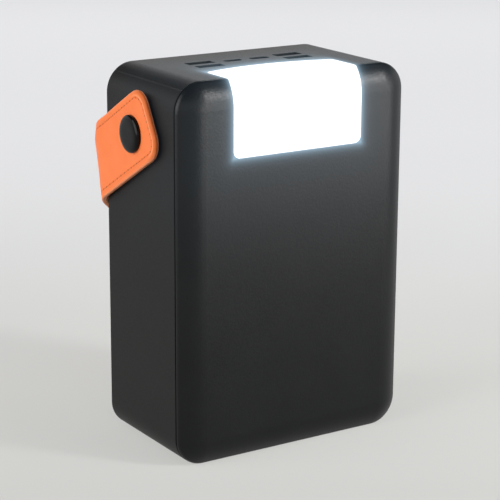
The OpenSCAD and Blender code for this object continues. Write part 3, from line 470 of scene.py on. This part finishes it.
# how steeply it falls along the side and behind the corner, and the length of the bend, which
# begins 1 mm before the back
FALL_0, FALL_1, BEND = math.radians(30), math.radians(40), 22.0
SLOPE_0, SLOPE_1 = math.tan(FALL_0), math.tan(FALL_1)
BEND_0 = Y_BACK - STUD_Y - 1
BEND_1 = BEND_0 + BEND
H_TIP = -TIP * math.cos(FALL_0)
# how far it leans outwards across the back, and how much its width is skewed where it bends
LEAN, RAKE = math.radians(22), -0.6
# how far the top and bottom edges curl in at the bend, over how much of the width
CURL_TOP, CURL_LOW, CURL_WIDE = 1.5, 1.0, 6.0
# the rim's rounding, the seam's groove and the face's sink below the rim: along the sides, and
# what the roll of the rim adds to each round the end
RIM, RIM_ROLL, SINK, SINK_ROLL = 0.6, 1.1, 0.02, 0.10
GROOVE, GROOVE_ROLL, GROOVE_WIDE = 0.08, 0.16, 0.36
# the hollow for the stud's socket: its radius and depth
HOLLOW_R, HOLLOW_DEEP = 5.6, 1.75
# a step of the sums along the middle line
STEP = 0.02


def ease(u):
    """Rises from 0 to 1 with level ends as u goes from 0 to 1."""
    u = np.clip(u, 0, 1)
    return u * u * (3 - 2 * u)


def turned(h):
    """How far the strap has turned towards the back at h, in radians: evenly to 60 degrees,
    then ever slower to 90, over twice the length that an even turn would take."""
    even = np.clip((h - BEND_0) / BEND, 0, 2 / 3)
    late = np.clip((h - BEND_0 - BEND * 2 / 3) / (BEND * 2 / 3), 0, 1)
    return np.radians(90 * even + 30 * (1 - (1 - late) ** 2))


# the plan of the middle line, summed up from its direction, to well past the middle of the back
plan_h = np.arange(0, 110, STEP)
inwards = np.cumsum(np.sin(turned(plan_h))) * STEP
backwards = np.cumsum(np.cos(turned(plan_h))) * STEP
H_MID = float(np.interp(MID_X, inwards, plan_h))
BACK_RUN = H_MID - BEND_1


def strap_line(h):
    """Middle line of the left half at h, the distance gone as seen from above: straight back
    along the side, round the corner, then straight across the back, while it falls at 30
    degrees, then 40, then evens out to level. Gives the point, the direction across the
    strap (leaning outwards across the back) and the outward normal, in mm."""
    bent = np.clip(h - BEND_0, 0, BEND)
    beyond = np.maximum(h - BEND_1, 0)
    a = turned(h)
    slope = SLOPE_0 + (SLOPE_1 - SLOPE_0) * bent / BEND - SLOPE_1 * beyond / BACK_RUN
    g = np.arctan(slope)
    fall = (SLOPE_0 * (np.minimum(h, BEND_0) + bent) + (SLOPE_1 - SLOPE_0) * bent ** 2 / (2 * BEND)
            + SLOPE_1 * (beyond - beyond ** 2 / (2 * BACK_RUN)))
    point = np.stack([np.interp(h, plan_h, inwards) - MID_X,
                      STUD_Y + np.minimum(h, 0) + np.interp(h, plan_h, backwards),
                      STUD_Z - fall], -1)
    # the lean comes with the bend; the skew begins 20 mm before it and ends 25 mm after it
    lean = (LEAN * ease((h - BEND_0 + 2) / (BEND + 4)))[..., None]
    rake = (RAKE * ease((h - BEND_0 + 20) / 20) * (1 - ease((h - BEND_1) / 25)))[..., None]
    along = np.stack([np.sin(a) * np.cos(g), np.cos(a) * np.cos(g), -np.sin(g)], -1)
    upright = np.stack([np.sin(a) * np.sin(g), np.cos(a) * np.sin(g), np.cos(g)], -1)
    outward = np.stack([-np.cos(a), np.sin(a), 0 * a], -1)
    across = np.cos(lean) * upright + np.sin(lean) * outward
    normal = np.cos(lean) * outward - np.sin(lean) * upright
    return point, across + rake * along, normal


fine_h = np.linspace(H_TIP, H_MID, 6000)
steps = np.linalg.norm(np.diff(strap_line(fine_h)[0], axis=0), axis=1)
fine_run = np.concatenate([[0], np.cumsum(steps)])
RUN = fine_run[-1]


def curl(h, w):
    """How far the edges curl in where the strap bends: smoothly more over the outer CURL_WIDE
    of the width, from 1 mm before the bend to 20 mm after it."""
    bend = ease((h - BEND_0 + 1) / 13) * (1 - ease((h - BEND_1) / 20))
    top, low = (ease((side - STRAP_HALF) / CURL_WIDE + 1) for side in (w, -w))
    return bend * (CURL_TOP * top + CURL_LOW * low)


def strap_point(run, w, n):
    """The point at a run from the strap's end, w across from its middle line and n out from
    its middle surface, in mm. Past the middle of the back the left half is mirrored."""
    far = run > RUN
    h = np.interp(np.where(far, 2 * RUN - run, run), fine_run, fine_h)
    point, across, normal = strap_line(h)
    p = point + w[..., None] * across + (n - curl(h, w))[..., None] * normal
    return p * np.where(far, -1, 1)[..., None] ** np.array([1, 0, 0])


def edge_distance(run, w):
    """How far inside the outline a place lies: the outline has straight sides and a straight
    end joined by quarter circles."""
    end = np.minimum(run, 2 * RUN - run)
    side = STRAP_HALF - np.abs(w)
    corner = END_R - np.hypot(np.maximum(END_R - end, 0), np.maximum(END_R - side, 0))
    return np.where((end < END_R) & (side < END_R), corner, np.minimum(end, side))


def seam_way(run, w):
    """Length gone along the seam from the middle of the end: over the straight end, round
    the quarter circle, then along the side."""
    end = np.minimum(run, 2 * RUN - run)
    out = np.maximum(np.abs(w) - FLAT, 0)
    angle = np.arctan2(out, np.maximum(END_R - end, 1e-9))
    way = np.minimum(np.abs(w), FLAT) + INNER * angle
    return np.where(end < END_R, way, FLAT + INNER * math.pi / 2 + end - END_R)


def half_thickness(edge, run):
    """Half the strap's thickness by the distance from its edge: a rounded rim, a groove that
    the seam pulls in, and a face a little lower than the rim. The rim is rolled wider and the
    groove drawn deeper over the first 4 mm of the end, and as along the sides after 12 mm."""
    rolled = 1 - ease((np.minimum(run, 2 * RUN - run) - 4) / 8)
    rim = np.sqrt(np.clip(1 - (1 - np.clip(edge / (RIM + RIM_ROLL * rolled), 0, 1)) ** 2, 0, 1))
    groove = (GROOVE + GROOVE_ROLL * rolled) * np.exp(-((edge - SEAM_IN) / GROOVE_WIDE) ** 2)
    return STRAP_T / 2 * rim - groove - (SINK + SINK_ROLL * rolled) * ease((edge - 2.0) / 1.4)


# rows along the strap and columns across it, close together over the rim and the seam
over_rim = [0, 0.04, 0.12, 0.25, 0.42, 0.65, 0.95, 1.3, 1.7, 2.1]
rows = np.concatenate([over_rim, np.arange(2.4, 3.8, 0.17), np.arange(3.9, 9.0, 0.32),
                       np.arange(9.2, 26, 0.75), np.arange(26.5, RUN - 0.6, 1.25)])
rows = np.concatenate([rows, [RUN], 2 * RUN - rows[::-1]])
inset = np.concatenate([over_rim, np.arange(2.35, 3.8, 0.16), [4.0, 4.5, 5.2],
                        np.arange(6.2, 15, 1.1)])
cols = np.concatenate([inset - STRAP_HALF, [0.0], STRAP_HALF - inset[::-1]]) / STRAP_HALF
# round the end's corners the columns draw in to the outline
end = np.minimum(rows, 2 * RUN - rows)
rounded = END_R - np.sqrt(np.clip(END_R ** 2 - (END_R - end) ** 2, 0, None))
narrow = np.where(end < END_R, rounded, 0)
run_grid = np.repeat(rows[:, None], len(cols), 1)
w_grid = cols[None, :] * (STRAP_HALF - narrow)[:, None]
edge_grid = np.clip(edge_distance(run_grid, w_grid), 0, None)
thick = half_thickness(edge_grid, run_grid)
# the inner face is hollowed round each stud for the socket
to_stud = np.hypot(np.minimum(run_grid, 2 * RUN - run_grid) - TIP, w_grid)
hollow = HOLLOW_DEEP * (1 - ease((to_stud - HOLLOW_R) / 0.9))
front = strap_point(run_grid, w_grid, thick)
rear = strap_point(run_grid, w_grid, -thick + hollow)


def two_faced(name, front, rear, extras):
    """One closed mesh from two grids of points with the same edge: the rear grid's faces are
    turned over, and the points of the common edge are merged. Each extra is a pair of grids
    of values, for the front and the rear."""
    n, m = front.shape[:2]
    first = (np.arange(n - 1)[:, None] * m + np.arange(m - 1)).ravel()
    quads = np.stack([first, first + 1, first + m + 1, first + m], -1)
    mesh = bpy.data.meshes.new(name)
    points = np.concatenate([front.reshape(-1, 3), rear.reshape(-1, 3)]) * MM
    index = np.arange(n * m).reshape(n, m)
    rim = np.zeros((n, m), bool)
    rim[[0, -1], :] = rim[:, [0, -1]] = True
    joined = np.where(rim, index, index + n * m).ravel()
    behind = joined[quads[:, ::-1]]
    used, faces = np.unique(np.concatenate([quads, behind]), return_inverse=True)
    mesh.from_pydata(points[used].tolist(), [], faces.reshape(-1, 4).tolist())
    for key, grids in extras.items():
        layer = mesh.attributes.new(key, "FLOAT", "POINT")
        values = np.concatenate([g.ravel() for g in grids])[used]
        layer.data.foreach_set("value", values.astype(np.float32))
    mesh.polygons.foreach_set("use_smooth", np.ones(len(mesh.polygons), bool))
    mesh.update()
    made = bpy.data.objects.new(name, mesh)
    bpy.context.scene.collection.objects.link(made)
    return made


way_grid = seam_way(run_grid, w_grid) / PITCH
strap = two_faced("sewn_strap", front, rear,
                  {"edge_in": (edge_grid, edge_grid), "seam_way": (way_grid, way_grid),
                   "lining": (0 * edge_grid, 0 * edge_grid + 1)})

# aniline-dyed leather: an even orange with a close, shallow pore grain and a satin finish
leather, tree, skin, coords = shaded("dyed_calf_leather", "#fd8348", 0.55, specular=0.2)
# in mm from the edge, and in stitches from the middle of the end
edge_in = node(tree, "Attribute", attribute_name="edge_in").outputs["Fac"]
way = node(tree, "Attribute", attribute_name="seam_way").outputs["Fac"]
patches = node(tree, "TexNoise", {"Vector": coords, "Scale": 1000 / 7, "Detail": 4.0})
face = node(tree, "ValToRGB", {"Fac": patches.outputs[0]},
            stops=((0.3, "#fb8146"), (0.7, "#ff874e")))
# the outer 4 mm: a thin painted highlight along the sides; round the end a burnished roll of
# deeper orange, with a painted highlight on its crest beside the seam
scaled = node(tree, "Math", {0: edge_in, 1: 1 / 4.0}, operation="MULTIPLY").outputs[0]
side_edge_and_highlight = node(tree, "ValToRGB", {"Fac": scaled}, stops=(
    (0.0, "#e88a58"), (0.05, "#ffab82"), (0.13, "#fe8c53"), (0.3, "#fc844a"), (0.66, "#f98146"),
    (0.78, "#f67f45")))
end_burnish_and_highlight = node(tree, "ValToRGB", {"Fac": scaled}, stops=(
    (0.0, "#b4541c"), (0.10, "#d4682e"), (0.30, "#e6763a"), (0.44, "#fc9058"), (0.55, "#ffa470"),
    (0.66, "#f48045"), (0.78, "#ea7238")))
along_side = node(tree, "MapRange", {"Value": way, "From Min": 4.0, "From Max": 6.5})
rim_burnish_and_highlight = node(tree, "Mix", {0: along_side.outputs[0], 6: end_burnish_and_highlight.outputs[0],
                              7: side_edge_and_highlight.outputs[0]},
                data_type="RGBA")
rim_fade = node(tree, "MapRange", {"Value": edge_in, "From Min": SEAM_IN,
                                   "From Max": SEAM_IN + 0.6})
toned = node(tree, "Mix", {0: rim_fade.outputs[0], 6: rim_burnish_and_highlight.outputs[2], 7: face.outputs[0]},
             data_type="RGBA")
# needle holes between the stitches, one a pitch, painted as darker spots: painted shade in them
half = node(tree, "Math", {0: way, 1: 0.5}, operation="ADD")
half = node(tree, "Math", {0: half.outputs[0]}, operation="FRACT")
off = node(tree, "Math", {0: half.outputs[0], 1: 0.5}, operation="SUBTRACT")
off = node(tree, "Math", {0: off.outputs[0], 1: PITCH}, operation="MULTIPLY")
side = node(tree, "Math", {0: edge_in, 1: SEAM_IN}, operation="SUBTRACT")
spot = node(tree, "CombineXYZ", {0: off.outputs[0], 1: side.outputs[0]})
spot = node(tree, "VectorMath", {0: spot.outputs[0]}, operation="LENGTH")
hole_shade = node(tree, "MapRange", {"Value": spot.outputs["Value"], "From Min": 0.14, "From Max": 0.50,
                               "To Min": 1.0, "To Max": 0.0})
pierced = node(tree, "Mix", {0: hole_shade.outputs[0], 6: toned.outputs[2], 7: paint("#a8562a")},
               data_type="RGBA")
# the lining: the same leather turned flesh side out, pinker, and paler partly as a flesh side is
# and partly as painted light where it lies in shade
lining = node(tree, "Attribute", attribute_name="lining").outputs["Fac"]
backed = node(tree, "Mix", {0: lining, 6: pierced.outputs[2], 7: paint("#f6a27c")},
              data_type="RGBA")
tree.links.new(backed.outputs[2], skin.inputs["Base Color"])
pores = node(tree, "TexVoronoi", {"Vector": coords, "Scale": 1000 / 0.55})
creases = node(tree, "TexNoise", {"Vector": coords, "Scale": 1000 / 2.2, "Detail": 5.0})
relief = node(tree, "Math", {0: creases.outputs[0], 1: 0.6, 2: pores.outputs["Distance"]},
              operation="MULTIPLY_ADD")
bump = node(tree, "Bump", {"Height": relief.outputs[0], "Distance": 0.00003, "Strength": 0.8})
tree.links.new(bump.outputs[0], skin.inputs["Normal"])
level = node(tree, "MapRange", {"Value": pores.outputs["Distance"], "To Min": 0.42, "To Max": 0.58})
tree.links.new(level.outputs[0], skin.inputs["Roughness"])
strap.data.materials.append(leather)
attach(strap, "strap")
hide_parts("carry_strap")

# ---- stitching -----------------------------------------------------------------------------
# Waxed polyester thread in the strap's own colour, a lockstitch on both faces. Every stitch
# is a small rounded length that lies in the groove and dips into a needle hole at each end.

# the thread's radius, half a stitch's length, how deep its ends dip under the groove's bed and
# how far its middle arches up again, all in mm, then its rings and sides in the mesh
THREAD_R, HALF_STITCH, DIP, ARCH = 0.24, 1.05, 0.14, 0.10
RINGS, SIDES = 7, 6
# the seam's length from the middle of the end to the side, and how many stitches go from the
# middle of the end to the middle of the back
LEAD_IN = FLAT + INNER * math.pi / 2
count = int((LEAD_IN + RUN - END_R) / PITCH)
middle = (np.arange(count) + 0.5) * PITCH


def seam_place(way):
    """The run and the width of a point of the seam, by the length gone along it: over the
    end, round the quarter circle, then along the side."""
    angle = np.clip((way - FLAT) / INNER, 0, math.pi / 2)
    run = np.where(way < LEAD_IN, END_R - INNER * np.cos(angle), END_R + way - LEAD_IN)
    w = np.minimum(way, FLAT) + INNER * np.sin(angle)
    return run, w


# u goes along a stitch from -1 to 1 and v round it; it is full in the middle and thin at the
# ends, by the square root of one minus the fourth power of u
u, v = np.meshgrid(np.linspace(-1, 1, RINGS), np.arange(SIDES) / SIDES * 2 * math.pi, indexing="ij")
swell = THREAD_R * np.sqrt(np.clip(1 - np.abs(u) ** 4, 0.02, 1))
stitch_points, turned_over = [], []
for mirrored in (False, True):
    for edge in (-1, 1):
        for face_side in (-1, 1):
            run, w = seam_place(middle[:, None, None] + HALF_STITCH * u)
            bed = half_thickness(np.full_like(run, SEAM_IN), run)
            depth = bed - DIP + ARCH * (1 - u ** 2) + swell * np.sin(v)
            # the thread's width lies square to the seam's direction, found from a place just ahead
            ahead_run, ahead_w = seam_place(middle[:, None, None] + HALF_STITCH * u + 0.05)
            lean_run, lean_w = ahead_run - run, ahead_w - w
            size = np.hypot(lean_run, lean_w)
            run = run - swell * np.cos(v) * lean_w / size
            w = w + swell * np.cos(v) * lean_run / size
            run = 2 * RUN - run if mirrored else run
            stitch_points.append(strap_point(run, edge * w, face_side * depth))
            # each mirroring, of the end, the edge or the face, turns a stitch's skin inside out
            turned_over += [(edge == face_side) != mirrored] * count
stitch_points = np.concatenate(stitch_points)
ring = np.arange(SIDES)
following = (ring + 1) % SIDES
cell = np.stack([ring, following, following + SIDES, ring + SIDES], -1)
tube = (cell[None] + SIDES * np.arange(RINGS - 1)[:, None, None]).reshape(-1, 4)
tips = np.stack([ring[::-1], ring + SIDES * (RINGS - 1)])
turned_over = np.array(turned_over)[:, None, None]
starts = RINGS * SIDES * np.arange(len(stitch_points))[:, None, None]
quads = np.where(turned_over, tube[:, ::-1], tube) + starts
tips = np.where(turned_over, tips[:, ::-1], tips) + starts
thread_mesh = bpy.data.meshes.new("strap_stitching")
thread_faces = quads.reshape(-1, 4).tolist() + tips.reshape(-1, SIDES).tolist()
thread_mesh.from_pydata((stitch_points.reshape(-1, 3) * MM).tolist(), [], thread_faces)
thread_mesh.polygons.foreach_set("use_smooth", np.ones(len(thread_mesh.polygons), bool))
thread_mesh.update()
stitching = bpy.data.objects.new("strap_stitching", thread_mesh)
bpy.context.scene.collection.objects.link(stitching)
# waxed polyester: satin, with the twist of its plies, painted darker in the grooves between them
# as painted shade
thread, tree, skin, coords = shaded("waxed_polyester_thread", "#f0763a", 0.5, specular=0.25)
plies = node(tree, "TexWave", {"Vector": coords, "Scale": 1000 / 0.6, "Distortion": 0.5},
             bands_direction="DIAGONAL")
bump = node(tree, "Bump", {"Height": plies.outputs[0], "Distance": 0.00005, "Strength": 0.7})
tree.links.new(bump.outputs[0], skin.inputs["Normal"])
twist = node(tree, "ValToRGB", {"Fac": plies.outputs[0]},
             stops=((0.0, "#e0692f"), (1.0, "#f98448")))
tree.links.new(twist.outputs["Color"], skin.inputs["Base Color"])
stitching.data.materials.append(thread)
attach(stitching, "strap")

# ---- press-stud caps -----------------------------------------------------------------------
# Domed brass caps with rolled edges, drawn from sheet, enamelled black and riveted through
# the strap over each stud. The enamel is smooth, with a slight orange peel.

# radius, height, the height of the straight wall and how deep it sinks into the leather, in
# mm, then the share of the profile that the crown takes, and the mesh's rings and sides
CAP_R, CAP_H, CAP_WALL, CAP_SUNK, CROWN = 7.8, 2.1, 0.8, 0.2, 0.8
CAP_RINGS, CAP_SIDES = 60, 96


def cap_profile(t):
    """Radius and height of the cap's skin as t goes from 0 at the middle to 1 where it meets
    the strap: over the crown the height above the wall falls with the square root of one minus
    the sixth power of the radius, then the wall goes straight down."""
    crown = np.sin(np.clip(t / CROWN, 0, 1) * math.pi / 2)
    dome = CAP_WALL + (CAP_H - CAP_WALL) * np.sqrt(np.clip(1 - crown ** 6, 0, 1))
    wall = CAP_WALL - (CAP_WALL + CAP_SUNK) * (t - CROWN) / (1 - CROWN)
    return CAP_R * crown, np.where(t < CROWN, dome, wall)


around = np.arange(CAP_SIDES)
t, a = np.meshgrid(np.linspace(0.01, 1, CAP_RINGS), around / CAP_SIDES * 2 * math.pi, indexing="ij")
radius, level = cap_profile(t)
face_x = MID_X + STRAP_T / 2
ring_start = CAP_SIDES * np.arange(CAP_RINGS - 1)[:, None]
first = (ring_start + around).ravel()
beside = (ring_start + (around + 1) % CAP_SIDES).ravel()
skin_quads = np.stack([first, first + CAP_SIDES, beside + CAP_SIDES, beside], -1)
cap_points, cap_faces = [], []
for sign in (1, -1):
    points = np.stack([sign * (face_x + level), STUD_Y + radius * np.cos(a),
                       STUD_Z + sign * radius * np.sin(a)], -1)
    start = len(cap_points) * t.size
    cap_points.append(points.reshape(-1, 3) * MM)
    cap_faces += (skin_quads + start).tolist()
    # the small ring at the middle and the open end under the leather are closed
    cap_faces += [(around + start).tolist(), (start + t.size - 1 - around).tolist()]
cap_mesh = bpy.data.meshes.new("stud_cap_shells")
cap_mesh.from_pydata(np.concatenate(cap_points).tolist(), [], cap_faces)
cap_mesh.polygons.foreach_set("use_smooth", [len(face) == 4 for face in cap_faces])
cap_mesh.update()
caps = bpy.data.objects.new("stud_cap_shells", cap_mesh)
bpy.context.scene.collection.objects.link(caps)
# baked enamel: near black, with sharp reflections along the rolled edge
enamel, tree, skin, coords = shaded("black_enamel_on_brass", "#070708", 0.14, specular=0.15)
grain(tree, skin, coords, 1.1, 0.004, 0.03)
mottle(tree, skin, coords, 4, "#060607", "#09090a")
caps.data.materials.append(enamel)
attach(caps, "strap")
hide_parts("stud_caps")
